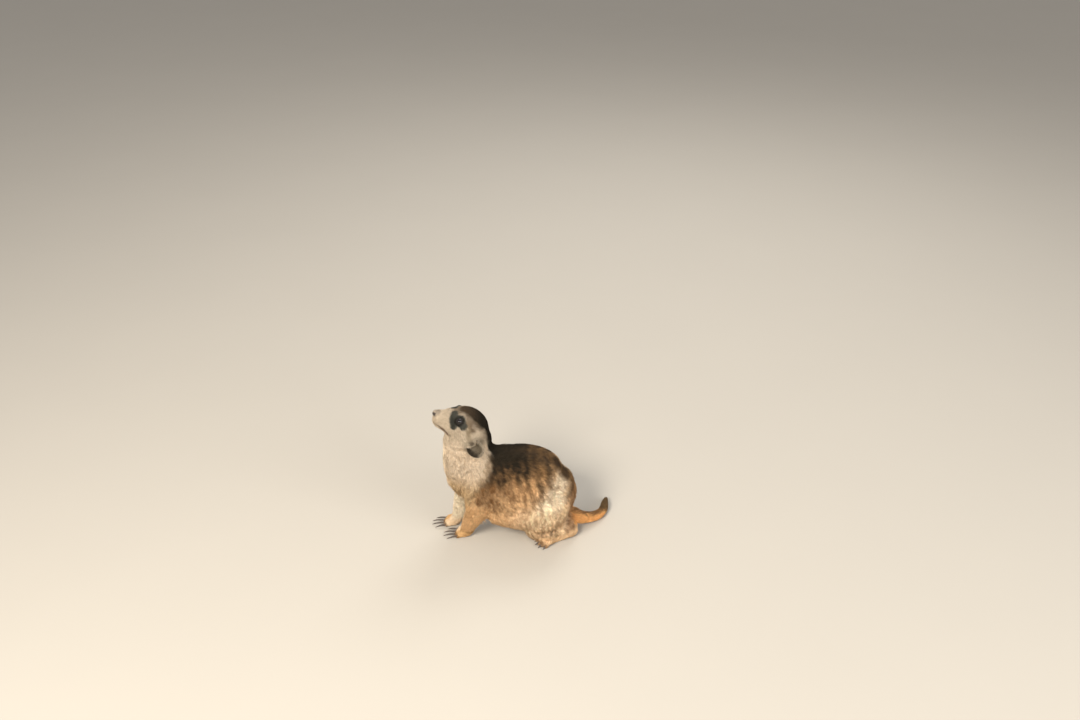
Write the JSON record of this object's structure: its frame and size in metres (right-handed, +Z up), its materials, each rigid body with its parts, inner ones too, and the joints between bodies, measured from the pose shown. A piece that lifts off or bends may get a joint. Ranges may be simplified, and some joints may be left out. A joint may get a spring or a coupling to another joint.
{
  "type": "meerkat",
  "caption": "Sitting meerkat, upright on its haunches with straight forelegs and raised nose, as a still life-size model.",
  "frame": {"origin": "on the floor, under the middle of the animal's bounds", "axes": "-Y the way the animal faces, +X its own left side, +Z up"},
  "size_m": [0.0884, 0.1851, 0.1467],
  "materials": {
    "cream_fur": "short soft fur, cream",
    "grey_tan_fur": "coarse grizzled fur with dark bands",
    "tan_fur": "short sandy tan fur",
    "dark_fur": "short dark brown fur",
    "nose_skin": "bare damp skin",
    "eye": "wet, dark brown",
    "claw_horn": "dark horn"
  },
  "bodies": {
    "root": {"head": "cream_fur", "neck": "cream_fur", "chest": "cream_fur", "belly": "grey_tan_fur", "rump": "grey_tan_fur", "upper_arm_left": "tan_fur", "forearm_left": "tan_fur", "forepaw_left": "tan_fur", "thigh_left": "tan_fur", "hind_foot_left": "tan_fur", "upper_arm_right": "tan_fur", "forearm_right": "tan_fur", "forepaw_right": "tan_fur", "thigh_right": "tan_fur", "hind_foot_right": "tan_fur", "tail_base": "tan_fur", "tail_tip": "dark_fur", "ear_left": "dark_fur", "ear_right": "dark_fur", "eye_left": "eye", "eye_right": "eye", "nose": "nose_skin", "claw_forepaw_left_1": "claw_horn", "claw_forepaw_left_2": "claw_horn", "claw_forepaw_left_3": "claw_horn", "claw_forepaw_left_4": "claw_horn", "claw_hind_foot_left_1": "claw_horn", "claw_hind_foot_left_2": "claw_horn", "claw_hind_foot_left_3": "claw_horn", "claw_hind_foot_left_4": "claw_horn", "claw_forepaw_right_1": "claw_horn", "claw_forepaw_right_2": "claw_horn", "claw_forepaw_right_3": "claw_horn", "claw_forepaw_right_4": "claw_horn", "claw_hind_foot_right_1": "claw_horn", "claw_hind_foot_right_2": "claw_horn", "claw_hind_foot_right_3": "claw_horn", "claw_hind_foot_right_4": "claw_horn"}
  },
  "joints": []
}
